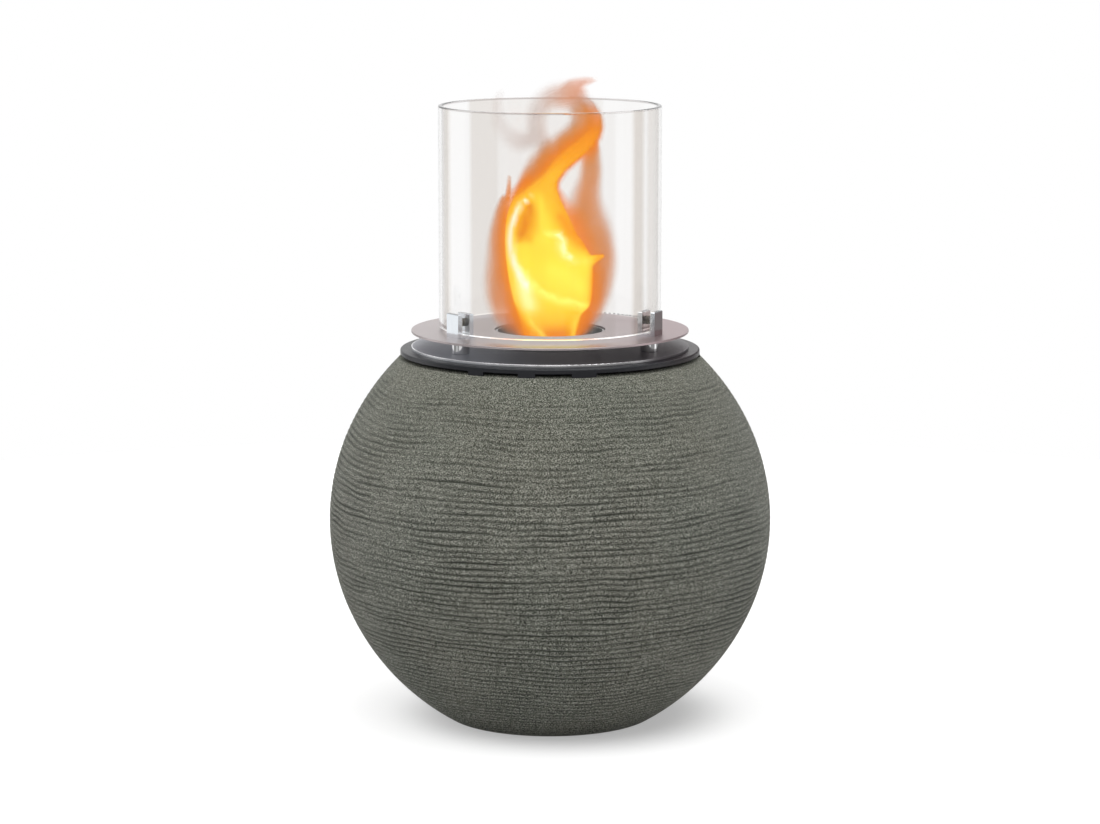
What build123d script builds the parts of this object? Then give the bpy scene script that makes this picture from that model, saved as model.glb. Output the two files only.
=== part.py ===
from build123d import *

import math
import os

# Ball-shaped bioethanol fireplace, in millimetres. A hollow composite ball stands on rubber pads.
# A burner unit of two steel plates sits on it with a tabbed vent ring, and carries a glass tube.
# +Z is up, the origin is on the floor below the ball's centre, and -Y is the front.

# Ball: its section is round at the middle and has flatter arcs towards its top and base
ball_radius = 200.0
flank_radius = 216.0
flank_latitude_deg = 24.0
ball_base_drop = 180.5
ball_wall = 10.0
ball_floor = 12.0
base_edge_round = 6.0
ledge_margin = 0.6
ledge_edge_round = 1.0
rim_rise = 1.0
rim_width = 11.5
rim_depth = 10.0
rim_edge_round = 0.4

# Pads under the ball
pad_count = 4
pad_radius = 11.0
pad_thickness = 4.0
pad_proud = 1.0
pad_circle_radius = 66.0
pad_turn_deg = 45.0
pad_side_gap = 0.3
pad_edge_round = 0.6

# Vent ring that stands on the ball's shoulder
ring_radius = 135.0
ring_flange_width = 25.0
ring_sheet = 2.0
ring_edge_round = 1.4
ring_rim_gap = 0.5
skirt_height = 7.8
slot_height = 3.7
tab_groups = 3
tab_widths = (15.0, 15.0, 22.0)
tab_pitch_deg = 20.0
ring_turn_deg = -129.9

# Plates and the standoffs between them
plate_radius = 125.0
lower_plate_sheet = 2.5
upper_plate_sheet = 2.0
plate_edge_round = 0.4
burner_hole_radius = 50.0
standoff_radius = 8.0
standoff_height = 12.6
standoff_chamfer = 0.5

# Glass tube
glass_radius = 100.0
glass_wall = 4.0
glass_height = 198.7
glass_edge_round = 1.2

# Clips that hold the glass
clip_count = 3
clip_turn_deg = 87.5
clip_width = 18.0
clip_height = 21.5
clip_wall = 4.0
clip_base = 2.0
clip_edge_chamfer = 0.6
glass_outer_gap = 2.0
glass_inner_gap = 3.5

# Silicone liners in the clips
liner_base = 0.9
liner_side = 0.6
liner_rise = 16.0

# Pressure screws and their pads
screw_height = 13.5
screw_radius = 3.0
screw_length = 7.0
screw_socket_across = 3.0
screw_socket_depth = 2.5
screw_hole_gap = 0.1
press_pad_radius = 3.6
press_pad_clearance = 0.4

# Bolts, studs and nuts
bolt_radius = 2.5
bolt_head_radius = 4.8
bolt_head_height = 2.3
bolt_hole_gap = 0.2
bolt_end_gap = 0.3
bolt_socket_across = 3.0
bolt_socket_depth = 1.5
stud_radius = 2.0
stud_length = 7.0
stud_hole_gap = 0.2
nut_across = 7.0
nut_height = 3.2
ring_stud_inset = 7.0
stud_turn_deg = 30.0

# Fuel cup, its wool and its grid
cup_mouth_gap = 1.5
cup_shoulder = 3.0
cup_wall = 1.2
cup_depth = 78.0
cup_recess = 1.2
cup_bottom_round = 5.0
cup_seat_gap = 0.5
wool_side_gap = 0.3
wool_top_gap = 3.0
grid_sheet = 1.0
grid_side_gap = 0.4
grid_hole_radius = 3.3
grid_ring_pitch = 11.0
grid_rings = 3

# Spill can round the fuel cup
can_gap = 4.5
can_wall = 1.0
can_flange_width = 11.0
can_depth = 90.0
can_bottom_round = 6.0

# Heights worked out from the floor up
ball_centre_z = pad_proud + ball_base_drop
flank_latitude = math.radians(flank_latitude_deg)
flank_centre_x = (ball_radius - flank_radius) * math.cos(flank_latitude)
flank_centre_rise = (ball_radius - flank_radius) * math.sin(flank_latitude)
ledge_radius = ring_radius + ledge_margin
ledge_rise = math.sqrt(flank_radius**2 - (ledge_radius - flank_centre_x) ** 2)
seat_z = ball_centre_z + flank_centre_rise + ledge_rise
rim_z = seat_z + rim_rise
ring_top_z = seat_z + skirt_height
lower_plate_z = ring_top_z + lower_plate_sheet
upper_plate_under_z = lower_plate_z + standoff_height
upper_plate_z = upper_plate_under_z + upper_plate_sheet
clip_floor_z = upper_plate_z + clip_base
glass_base_z = clip_floor_z + liner_base

# Radii worked out from the ring, the glass and the burner hole
rim_radius = ring_radius - ring_sheet - ring_rim_gap
mouth_radius = rim_radius - rim_width
ring_inner_radius = ring_radius - ring_flange_width
ring_stud_circle_radius = ring_inner_radius + ring_stud_inset
clip_slot_outer = glass_radius + glass_outer_gap
clip_slot_inner = glass_radius - glass_wall - glass_inner_gap
clip_outer = clip_slot_outer + clip_wall
clip_inner = clip_slot_inner - clip_wall
clip_centre = (clip_outer + clip_inner) / 2
cup_mouth_radius = burner_hole_radius - cup_mouth_gap
cup_body_radius = cup_mouth_radius - cup_shoulder
cup_inner_radius = cup_body_radius - cup_wall
lower_hole_radius = cup_body_radius + cup_seat_gap
cup_ledge_z = lower_plate_z + cup_wall
cup_bottom_z = lower_plate_z - cup_depth
can_inner_radius = cup_body_radius + can_gap
can_outer_radius = can_inner_radius + can_wall
can_flange_radius = can_outer_radius + can_flange_width
can_stud_circle_radius = can_outer_radius + can_flange_width / 2
can_bottom_z = ring_top_z - can_depth


def spread(first_deg, count):
    """Even angles round the ball's axis."""
    return [first_deg + 360.0 / count * number for number in range(count)]


pad_angles = spread(pad_turn_deg, pad_count)
clip_angles = spread(clip_turn_deg, clip_count)
stud_angles = spread(clip_turn_deg + stud_turn_deg, clip_count)
tab_starts = [
    group_angle + tab_pitch_deg * number
    for group_angle in spread(ring_turn_deg, tab_groups)
    for number in range(len(tab_widths))
]
tab_ends = [
    start + math.degrees(width / ring_radius) for start, width in zip(tab_starts, tab_widths * tab_groups)
]

os.makedirs("parts", exist_ok=True)


def save(piece, name):
    piece.label = name
    export_step(piece, f"parts/{name}.step")


def save_turned(piece, name, angles):
    """Writes one copy of a piece that was modelled on the +X axis for each angle round the ball's axis."""
    for number, angle in enumerate(angles, start=1):
        save(piece.rotate(Axis.Z, angle), f"{name}_{number}")


def save_group(piece, name, angles):
    """Writes the copies of a piece round the ball's axis as the separate solids of one node."""
    save(Compound(children=[piece.rotate(Axis.Z, angle) for angle in angles]), name)


def ball_section(inset, low_z, high_z):
    """Draws the ball's section line, set in from its outside, and gives its lowest and highest points."""
    flank = flank_radius - inset
    lower_centre_z = ball_centre_z - flank_centre_rise
    upper_centre_z = ball_centre_z + flank_centre_rise
    low_deg = math.degrees(math.asin((low_z - lower_centre_z) / flank))
    high_deg = math.degrees(math.asin((high_z - upper_centre_z) / flank))
    lower = CenterArc((flank_centre_x, lower_centre_z), flank, low_deg, -flank_latitude_deg - low_deg)
    CenterArc((0, ball_centre_z), ball_radius - inset, -flank_latitude_deg, 2 * flank_latitude_deg)
    upper = CenterArc(
        (flank_centre_x, upper_centre_z), flank, flank_latitude_deg, high_deg - flank_latitude_deg
    )
    return lower @ 0, upper @ 1


# Ball: a shell with a flat base, a ledge for the ring, and a thick neck with a low rim round its mouth
inner_floor_z = pad_proud + ball_floor
neck_z = seat_z - rim_depth
with BuildPart() as ball_body:
    with BuildSketch(Plane.XZ):
        with BuildLine():
            base_corner, ledge_corner = ball_section(0, pad_proud, seat_z)
            floor_corner, neck_corner = ball_section(ball_wall, inner_floor_z, neck_z)
            Polyline(
                ledge_corner,
                (rim_radius, seat_z),
                (rim_radius, rim_z),
                (mouth_radius, rim_z),
                (mouth_radius, neck_z),
                neck_corner,
            )
            Polyline(floor_corner, (0, inner_floor_z), (0, pad_proud), base_corner)
        make_face()
    revolve(axis=Axis.Z)
    fillet(ball_body.edges().filter_by(GeomType.CIRCLE).group_by(Axis.Z)[0], base_edge_round)
    ledge_circles = ball_body.edges().filter_by(GeomType.CIRCLE).group_by(Axis.Z)[-2]
    fillet(ledge_circles.sort_by(SortBy.LENGTH)[-1], ledge_edge_round)
    fillet(ball_body.edges().filter_by(GeomType.CIRCLE).group_by(Axis.Z)[-1], rim_edge_round)
    with BuildSketch(Plane.XY.offset(pad_proud)):
        with PolarLocations(pad_circle_radius, pad_count, start_angle=pad_turn_deg):
            Circle(pad_radius + pad_side_gap)
    extrude(amount=pad_thickness - pad_proud, mode=Mode.SUBTRACT)
save(ball_body.part, "ball_body")

# Foot pads: rubber discs let into pockets in the ball's base
with BuildPart() as foot_pad:
    with Locations((pad_circle_radius, 0, 0)):
        Cylinder(pad_radius, pad_thickness, align=(Align.CENTER, Align.CENTER, Align.MIN))
    fillet(foot_pad.edges().group_by(Axis.Z)[0], pad_edge_round)
save_turned(foot_pad.part, "foot_pad", pad_angles)

# Vent ring: a flat annulus with a rolled edge and a skirt, whose lower half is cut away between the tabs
cut_reach = 2 * ring_radius
with BuildPart() as vent_ring:
    with BuildSketch(Plane.XZ):
        with BuildLine():
            Polyline(
                (ring_inner_radius, ring_top_z - ring_sheet),
                (ring_inner_radius, ring_top_z),
                (ring_radius, ring_top_z),
                (ring_radius, seat_z),
                (ring_radius - ring_sheet, seat_z),
                (ring_radius - ring_sheet, ring_top_z - ring_sheet),
                close=True,
            )
        make_face()
    revolve(axis=Axis.Z)
    top_circles = vent_ring.edges().filter_by(GeomType.CIRCLE).group_by(Axis.Z)[-1]
    fillet(top_circles.sort_by(SortBy.LENGTH)[-1], ring_edge_round)
    with BuildSketch(Plane.XY.offset(seat_z)):
        for end, following in zip(tab_ends, tab_starts[1:] + [tab_starts[0] + 360]):
            slot_edges = (end, (end + following) / 2, following)
            with BuildLine():
                Polyline((0, 0), *[Vector(cut_reach, 0).rotate(Axis.Z, a) for a in slot_edges], close=True)
            make_face()
    extrude(amount=slot_height, mode=Mode.SUBTRACT)
    with Locations((0, 0, ring_top_z)):
        with PolarLocations(ring_stud_circle_radius, clip_count, start_angle=stud_angles[0]):
            Hole(stud_radius + stud_hole_gap, depth=ring_sheet)
save(vent_ring.part, "vent_ring")

# Lower plate: rests on the ring, carries the fuel cup by its shoulder
with BuildPart() as lower_plate:
    with BuildSketch(Plane.XY.offset(ring_top_z)):
        Circle(plate_radius)
        Circle(lower_hole_radius, mode=Mode.SUBTRACT)
    extrude(amount=lower_plate_sheet)
    rim_edges = lower_plate.edges().filter_by(GeomType.CIRCLE).group_by(SortBy.LENGTH)[-1]
    fillet(rim_edges, plate_edge_round)
    with Locations(Plane(origin=(0, 0, ring_top_z), x_dir=(1, 0, 0), z_dir=(0, 0, -1))):
        with PolarLocations(clip_centre, clip_count, start_angle=-clip_angles[0]):
            CounterSinkHole(
                bolt_radius + bolt_hole_gap, bolt_head_radius + bolt_hole_gap, depth=lower_plate_sheet
            )
save(lower_plate.part, "lower_plate")

# Upper plate: holds the clips, with the burner hole in its middle
with BuildPart() as upper_plate:
    with BuildSketch(Plane.XY.offset(upper_plate_under_z)):
        Circle(plate_radius)
        Circle(burner_hole_radius, mode=Mode.SUBTRACT)
        with PolarLocations(clip_centre, clip_count, start_angle=clip_angles[0]):
            Circle(bolt_radius + bolt_hole_gap, mode=Mode.SUBTRACT)
    extrude(amount=upper_plate_sheet)
    rim_edges = upper_plate.edges().filter_by(GeomType.CIRCLE).group_by(SortBy.LENGTH)[-1]
    fillet(rim_edges, plate_edge_round)
save(upper_plate.part, "upper_plate")

# Standoffs: polished spacers between the plates, under the clips
with BuildPart() as standoff:
    with BuildSketch(Plane.XY.offset(lower_plate_z)):
        with Locations((clip_centre, 0)):
            Circle(standoff_radius)
            Circle(bolt_radius + bolt_hole_gap, mode=Mode.SUBTRACT)
    extrude(amount=standoff_height)
    outer_edges = standoff.edges().filter_by(GeomType.CIRCLE).group_by(SortBy.LENGTH)[-1]
    chamfer(outer_edges, standoff_chamfer)
save_turned(standoff.part, "standoff", clip_angles)

# Glass clips: U-shaped blocks with a tapped hole for the pressure screw in the inner jaw
screw_z = upper_plate_z + screw_height
with BuildPart() as glass_clip:
    with BuildSketch(Plane.XZ.offset(-clip_width / 2)):
        with BuildLine():
            Polyline(
                (clip_inner, upper_plate_z),
                (clip_outer, upper_plate_z),
                (clip_outer, upper_plate_z + clip_height),
                (clip_slot_outer, upper_plate_z + clip_height),
                (clip_slot_outer, clip_floor_z),
                (clip_slot_inner, clip_floor_z),
                (clip_slot_inner, upper_plate_z + clip_height),
                (clip_inner, upper_plate_z + clip_height),
                close=True,
            )
        make_face()
    extrude(amount=clip_width)
    top_edges = glass_clip.faces().filter_by(Axis.Z).group_by(Axis.Z)[-1].edges()
    chamfer(top_edges, clip_edge_chamfer)
    with Locations(Plane(origin=(clip_inner, 0, screw_z), z_dir=(-1, 0, 0))):
        Hole(screw_radius + screw_hole_gap, depth=clip_wall)
    with Locations((clip_centre, 0, clip_floor_z)):
        Hole(bolt_radius + bolt_hole_gap, depth=clip_base)
save_turned(glass_clip.part, "glass_clip", clip_angles)

# Clip liners: silicone strips below and outside the glass
with BuildPart() as clip_liner:
    with BuildSketch(Plane.XZ.offset(-clip_width / 2)):
        with BuildLine():
            Polyline(
                (clip_slot_inner, clip_floor_z),
                (clip_slot_outer, clip_floor_z),
                (clip_slot_outer, clip_floor_z + liner_rise),
                (clip_slot_outer - liner_side, clip_floor_z + liner_rise),
                (clip_slot_outer - liner_side, glass_base_z),
                (clip_slot_inner, glass_base_z),
                close=True,
            )
        make_face()
    extrude(amount=clip_width)
save_turned(clip_liner.part, "clip_liner", clip_angles)

# Pressure screws: hexagon socket set screws through the inner jaws
with BuildPart() as pressure_screw:
    with BuildSketch(Plane(origin=(clip_slot_inner, 0, screw_z), z_dir=(-1, 0, 0))):
        Circle(screw_radius)
    extrude(amount=screw_length)
    with BuildSketch(Plane(origin=(clip_slot_inner - screw_length, 0, screw_z), z_dir=(1, 0, 0))):
        RegularPolygon(screw_socket_across / 2, 6, major_radius=False)
    extrude(amount=screw_socket_depth, mode=Mode.SUBTRACT)
save_turned(pressure_screw.part, "pressure_screw", clip_angles)

# Pressure pads: rubber discs between the screws and the glass
press_pad_thickness = glass_inner_gap - press_pad_clearance
with BuildPart() as pressure_pad:
    with BuildSketch(Plane(origin=(clip_slot_inner, 0, screw_z), z_dir=(1, 0, 0))):
        Circle(press_pad_radius)
    extrude(amount=press_pad_thickness)
save_turned(pressure_pad.part, "pressure_pad", clip_angles)

# Clip bolts: countersunk bolts from below the lower plate up into the clips
bolt_end_z = clip_floor_z - bolt_end_gap
with BuildPart() as clip_bolt:
    with BuildSketch(Plane.XZ):
        with BuildLine():
            Polyline(
                (0, ring_top_z),
                (bolt_head_radius, ring_top_z),
                (bolt_radius, ring_top_z + bolt_head_height),
                (bolt_radius, bolt_end_z),
                (0, bolt_end_z),
                close=True,
            )
        make_face()
    revolve(axis=Axis.Z)
    with BuildSketch(Plane.XY.offset(ring_top_z)):
        RegularPolygon(bolt_socket_across / 2, 6, major_radius=False)
    extrude(amount=bolt_socket_depth, mode=Mode.SUBTRACT)
save_group(clip_bolt.part.translate((clip_centre, 0, 0)), "clip_bolts", clip_angles)

# Welded studs under the lower plate: one circle holds the ring, the other the spill can
with BuildPart() as plate_stud:
    with Locations((0, 0, ring_top_z)):
        Cylinder(stud_radius, stud_length, align=(Align.CENTER, Align.CENTER, Align.MAX))
with BuildPart() as plate_nut:
    with BuildSketch(Plane.XY.offset(-nut_height)):
        RegularPolygon(nut_across / 2, 6, major_radius=False)
        Circle(stud_radius + stud_hole_gap, mode=Mode.SUBTRACT)
    extrude(amount=nut_height)
for kind, circle_radius, sheet in (
    ("ring", ring_stud_circle_radius, ring_sheet),
    ("can", can_stud_circle_radius, can_wall),
):
    stud = plate_stud.part.translate((circle_radius, 0, 0))
    nut = plate_nut.part.translate((circle_radius, 0, ring_top_z - sheet))
    save_group(stud, f"{kind}_studs", stud_angles)
    save_group(nut, f"{kind}_nuts", stud_angles)

# Spill can: a drawn can that hangs round the fuel cup by its flange and catches spilt fuel
with BuildPart() as spill_can:
    with BuildSketch(Plane.XY.offset(can_bottom_z)):
        Circle(can_outer_radius)
    extrude(amount=can_depth)
    fillet(spill_can.edges().group_by(Axis.Z)[0], can_bottom_round)
    offset(amount=-can_wall, openings=spill_can.faces().sort_by(Axis.Z)[-1])
    with BuildSketch(Plane.XY.offset(ring_top_z)):
        Circle(can_flange_radius)
        Circle(can_outer_radius, mode=Mode.SUBTRACT)
    extrude(amount=-can_wall)
    with Locations((0, 0, ring_top_z)):
        with PolarLocations(can_stud_circle_radius, clip_count, start_angle=stud_angles[0]):
            Hole(stud_radius + stud_hole_gap, depth=can_wall)
save(spill_can.part, "spill_can")

# Fuel cup: a drawn cup whose shoulder rests on the lower plate and whose mouth reaches the upper plate
cup_mouth_z = upper_plate_z - cup_recess
with BuildPart() as fuel_cup:
    with BuildSketch(Plane.XY.offset(cup_bottom_z)):
        Circle(cup_body_radius)
    extrude(amount=cup_depth)
    fillet(fuel_cup.edges().group_by(Axis.Z)[0], cup_bottom_round)
    with BuildSketch(Plane.XY.offset(lower_plate_z)):
        Circle(cup_mouth_radius)
    extrude(amount=cup_mouth_z - lower_plate_z)
    offset(amount=-cup_wall, openings=fuel_cup.faces().sort_by(Axis.Z)[-1])
save(fuel_cup.part, "fuel_cup")

# Ceramic wool: the absorbent block that holds the fuel
wool_radius = cup_inner_radius - wool_side_gap
wool_floor_z = cup_bottom_z + cup_wall
wool_top_z = cup_ledge_z - wool_top_gap
with BuildPart() as ceramic_wool:
    with Locations((0, 0, wool_floor_z)):
        Cylinder(wool_radius, wool_top_z - wool_floor_z, align=(Align.CENTER, Align.CENTER, Align.MIN))
    fillet(ceramic_wool.edges().filter_by(GeomType.CIRCLE).group_by(Axis.Z)[0], cup_bottom_round)
save(ceramic_wool.part, "ceramic_wool")

# Burner grid: a perforated disc on the cup's inner ledge, with holes in rings of six, twelve and eighteen
with BuildPart() as burner_grid:
    with BuildSketch(Plane.XY.offset(cup_ledge_z)):
        Circle(cup_mouth_radius - cup_wall - grid_side_gap)
        Circle(grid_hole_radius, mode=Mode.SUBTRACT)
        for ring in range(1, grid_rings + 1):
            with PolarLocations(grid_ring_pitch * ring, 6 * ring):
                Circle(grid_hole_radius, mode=Mode.SUBTRACT)
    extrude(amount=grid_sheet)
save(burner_grid.part, "burner_grid")

# Glass tube: stands in the clips and lifts off upwards
with BuildPart() as glass_tube:
    with BuildSketch(Plane.XY.offset(glass_base_z)):
        Circle(glass_radius)
        Circle(glass_radius - glass_wall, mode=Mode.SUBTRACT)
    extrude(amount=glass_height)
    fillet(glass_tube.edges().filter_by(GeomType.CIRCLE), glass_edge_round)
save(glass_tube.part, "glass_tube")
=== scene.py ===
import math

import bmesh
import bpy
from mathutils import Matrix, Vector, noise


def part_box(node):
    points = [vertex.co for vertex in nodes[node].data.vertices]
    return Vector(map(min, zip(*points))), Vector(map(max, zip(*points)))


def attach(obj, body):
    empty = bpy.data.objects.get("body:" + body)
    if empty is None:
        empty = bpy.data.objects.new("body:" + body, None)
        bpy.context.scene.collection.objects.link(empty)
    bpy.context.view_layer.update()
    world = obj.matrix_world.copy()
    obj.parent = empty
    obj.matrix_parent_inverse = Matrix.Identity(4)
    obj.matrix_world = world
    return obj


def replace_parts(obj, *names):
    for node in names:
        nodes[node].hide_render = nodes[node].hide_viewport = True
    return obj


# Ball-shaped bioethanol fireplace, in metres: a grooved composite ball, a steel burner unit,
# a clear glass tube and the flame inside it. The frame gives every piece's place.
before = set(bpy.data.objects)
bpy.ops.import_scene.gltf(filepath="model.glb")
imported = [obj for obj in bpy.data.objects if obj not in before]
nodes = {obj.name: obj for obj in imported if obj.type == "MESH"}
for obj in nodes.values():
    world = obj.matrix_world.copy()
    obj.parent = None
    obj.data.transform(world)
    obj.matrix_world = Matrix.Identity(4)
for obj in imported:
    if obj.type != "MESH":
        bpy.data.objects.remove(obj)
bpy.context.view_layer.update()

# Camera, at the photograph's viewing angle
camera_distance = 3.117
camera_height = 0.785
camera_turn_deg = -8.0
camera_pitch_deg = 9.22
camera_lens_mm = 114.16

# Studio: a round floor with a painted glow that rises away from the fireplace's shade, and a wide lamp
# overhead
floor_radius = 1.5
floor_glow = 0.38
floor_glow_away = 0.29
floor_shade_radius = 0.09
floor_shade_end = 0.17
floor_shade_right = 0.016
lamp_strength = 1.95
lamp_height_deg = 76
lamp_left_deg = 14
lamp_spread_deg = 70

# Ball: the outline of its section, as on the frame's solid, and the heights between which painted shade
# darkens its top
ball_radius = 0.2
flank_radius = 0.216
flank_latitude = math.radians(24)
ball_centre_z = 0.1815
ball_base_z = 0.001
ball_wall = 0.010
ball_floor_z = 0.013
base_edge_round = 0.006
ledge_edge_round = 0.001
rim_radius = 0.1325
rim_rise = 0.001
rim_width = 0.0115
rim_depth = 0.010
painted_top_shade_from = 0.19
painted_top_shade_full = 0.33
seat_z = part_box("vent_ring")[0].z

# Grooves combed round the ball: how deep each of a groove's rows lies, from its middle on
groove_pitch = 0.0051
groove_depth = 0.0013
groove_columns = 230
groove_shape = (1.0, 0.35, 0.0, 0.0, 0.35)
groove_rows = len(groove_shape)

# How strongly they are combed: on top, how much more below, how much less on the right, and the limits
comb_strength = 0.50
comb_gain_below = 0.52
comb_loss_right = 0.20
comb_least = 0.30
comb_most = 1.25
comb_calm_rows_base = 12
comb_calm_rows_ledge = 30

# Pockets for the foot pads
pad_count = 4
pocket_gap = 0.0003
pocket_depth = 0.003
pocket_sides = 32

# Steps of the flame's skins
core_mesh_step = 0.0013
flame_mesh_step = 0.0026


def paint(red, green, blue):
    """A colour given as it looks on a screen, from 0 to 255, as the linear colour that a material takes."""
    def linear(part):
        part = part / 255
        return part / 12.92 if part <= 0.04045 else ((part + 0.055) / 1.055) ** 2.4
    return linear(red), linear(green), linear(blue), 1.0


def grey(level):
    return paint(level, level, level)


class Value:
    """A socket's value inside a node tree. Arithmetic on it adds Math nodes to the tree."""

    def __init__(self, tree, socket):
        self.tree = tree
        self.socket = socket

    def maths(self, operation, *terms):
        return self.tree.node("Math", {"operation": operation}, dict(enumerate(terms)))

    def __add__(self, other):
        return self.maths("ADD", self, other)

    def __sub__(self, other):
        return self.maths("SUBTRACT", self, other)

    def __rsub__(self, other):
        return self.maths("SUBTRACT", other, self)

    def __mul__(self, other):
        return self.maths("MULTIPLY", self, other)

    def absolute(self):
        return self.maths("ABSOLUTE", self)

    def capped(self):
        """The value kept between 0 and 1."""
        return self.tree.node("Clamp", {}, {"Value": self})

    def ramp(self, low, high):
        """Runs from 0 at low to 1 at high, smoothly."""
        settings = {"interpolation_type": "SMOOTHSTEP"}
        return self.tree.node("MapRange", settings, {"Value": self, "From Min": low, "From Max": high})

    def inside(self, low, high, edge):
        """1 between low and high and 0 outside them, with an edge that fades as far in as out."""
        away = (self - (low + high) / 2).absolute()
        return (away - (high - low) / 2).ramp(edge, -edge)

    __radd__ = __add__
    __rmul__ = __mul__


class Tree:
    """A node tree to which nodes are added with their settings and the values of their sockets."""

    def __init__(self, owner):
        owner.use_nodes = True
        self.tree = owner.node_tree
        self.tree.nodes.clear()

    def plug(self, socket, value):
        if isinstance(value, Value):
            self.tree.links.new(value.socket, socket)
        else:
            socket.default_value = value

    def node(self, kind, settings=(), sockets=(), output=0):
        node = self.tree.nodes.new("ShaderNode" + kind)
        for key, value in dict(settings).items():
            setattr(node, key, value)
        for key, value in dict(sockets).items():
            self.plug(node.inputs[key], value)
        return Value(self, node.outputs[output])

    def mix(self, factor, first, second):
        return self.node("Mix", {"data_type": "RGBA"}, {0: factor, 6: first, 7: second}, 2)

    def parts(self, vector):
        """A vector's X, Y and Z."""
        return [self.node("SeparateXYZ", {}, {0: vector}, axis) for axis in "XYZ"]

    def length(self, vector):
        return self.node("VectorMath", {"operation": "LENGTH"}, {0: vector}, "Value")

    def turn(self, across, along):
        """The angle of a direction, in degrees round from the Y axis."""
        return self.node("Math", {"operation": "ARCTAN2"}, {0: across, 1: along}) * (180 / math.pi)

    def seen_directly(self):
        """1 for rays from the camera, straight or through glass or off metal, and 0 for light's own rays."""
        kinds = ("Camera", "Glossy", "Transmission")
        rays = [self.node("LightPath", output=f"Is {kind} Ray") for kind in kinds]
        return (rays[0] + rays[1] + rays[2]).capped()


class Finish(Tree):
    """A material for one of the fireplace's surfaces."""

    def __init__(self, name, **fixed):
        self.material = bpy.data.materials.new(name)
        super().__init__(self.material)
        self.output = self.tree.nodes.new("ShaderNodeOutputMaterial")
        self.surface = self.tree.nodes.new("ShaderNodeBsdfPrincipled")
        self.tree.links.new(self.surface.outputs[0], self.output.inputs["Surface"])
        for key, value in fixed.items():
            self.set(key.replace("_", " ").title().replace("Ior", "IOR"), value)

    def set(self, key, value):
        """Gives one of the surface's sockets a value or a link."""
        self.plug(self.surface.inputs[key], value)

    def place(self):
        """Where a point lies, in metres."""
        return self.node("TexCoord", output="Object")

    def facing(self):
        """Which way a point's surface faces: its normal's X, Y and Z."""
        return self.parts(self.node("TexCoord", output="Normal"))

    def attribute(self, name, output="Fac"):
        return self.node("Attribute", {"attribute_name": name}, output=output)

    def noise(self, place, scale, detail=2.0, roughness=0.5):
        sockets = {"Vector": place, "Scale": scale, "Detail": detail, "Roughness": roughness}
        return self.node("TexNoise", {}, sockets, "Fac")

    def stretched(self, place, scale):
        return self.node("Mapping", {}, {"Vector": place, "Scale": scale})

    def bump(self, height, distance, strength=1.0):
        sockets = {"Height": height, "Distance": distance, "Strength": strength}
        self.set("Normal", self.node("Bump", {}, sockets))


def ball_composite():
    """Grey-green fibre-and-stone composite with pale and dark grains, dirt and painted shade in the grooves,
    painted shade on top.
    """
    finish = Finish("ball_composite", roughness=0.92, sheen_weight=0.12, sheen_roughness=0.5)
    place = finish.place()
    groove = finish.attribute("groove")
    grain = finish.noise(place, 1200.0, 1.5, 0.6)
    lumps = finish.noise(place, 420.0, 2.0, 0.6)
    patch = finish.noise(place, 8.0, 3.0, 0.5)
    height = finish.parts(place)[2]
    colour = finish.mix(patch.ramp(0.35, 0.65), paint(117, 121, 110), paint(125, 125, 113))
    colour = finish.mix(grain.ramp(0.50, 0.64), colour, paint(212, 212, 199))
    colour = finish.mix(grain.ramp(0.50, 0.36), colour, paint(24, 27, 22))
    # Painted shade: darker and greener towards the top, under the burner unit
    colour = finish.mix(height.ramp(painted_top_shade_from, painted_top_shade_full) * 0.30, colour, paint(77, 80, 60))
    # Dirt and painted shade in the grooves: darker where a groove is deeper
    finish.set("Base Color", finish.mix(groove * 0.85, colour, paint(56, 60, 52)))
    finish.bump(grain * 0.85 + lumps * 0.15, 0.0010)
    return finish.material


def ring_paint():
    """Dark blue-grey powder coat on the vent ring, with a painted warm reflection that makes it browner on
    the right.
    """
    finish = Finish("vent_ring_paint", specular_ior_level=0.36)
    place = finish.place()
    peel = finish.noise(place, 900.0, 2.0)
    shade = finish.noise(place, 40.0, 3.0)
    coat = finish.mix(shade, paint(20, 22, 27), paint(30, 32, 38))
    # Painted warm reflection: browner towards the right
    right = finish.parts(place)[0].ramp(0.06, 0.13)
    finish.set("Base Color", finish.mix(right * 0.7, coat, paint(38, 22, 24)))
    finish.set("Roughness", shade * 0.12 + 0.30)
    finish.bump(peel, 0.00012)
    return finish.material


# Where the lower plate's painted edge highlight begins and where it is full, as radii
painted_edge_highlight_from = 0.1238
painted_edge_highlight_full = 0.1246


def lower_plate_steel():
    """Dark brushed steel, lighter to the left as a painted reflection, with a painted glow of studio light
    and a painted edge highlight.
    """
    finish = Finish("lower_plate_steel", metallic=0.85)
    place = finish.place()
    across = finish.parts(place)[0]
    radius = finish.length(finish.stretched(place, (1.0, 1.0, 0.0)))
    lines = finish.noise(finish.stretched(place, (40.0, 400.0, 400.0)), 1.0, 3.0, 0.6)
    # Painted reflection: lighter towards the left
    face = finish.mix(across.ramp(-0.03, -0.10), paint(104, 100, 102), paint(136, 135, 141))
    # Painted highlight along the edge, patchy and fading out on the right
    highlight_breakup = 0.5 + finish.noise(place, 50.0) * 0.9
    edge = radius.ramp(painted_edge_highlight_from, painted_edge_highlight_full) * across.ramp(0.085, 0.045) * highlight_breakup
    finish.set("Base Color", finish.mix(edge.capped(), face, grey(238)))
    finish.set("Roughness", 0.42 - edge * 0.24)
    finish.bump(lines, 0.000008)
    # Painted glow, paler on the left and dimmer on the right, streaked along the brushing
    glow = finish.mix(across.ramp(-0.10, 0.0), paint(92, 95, 101), paint(70, 67, 68))
    glow = finish.mix(across.ramp(0.0, 0.07), glow, paint(36, 34, 37))
    finish.set("Emission Color", finish.mix(lines * 0.8, glow, grey(30)))
    finish.set("Emission Strength", 1.0)
    return finish.material


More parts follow.
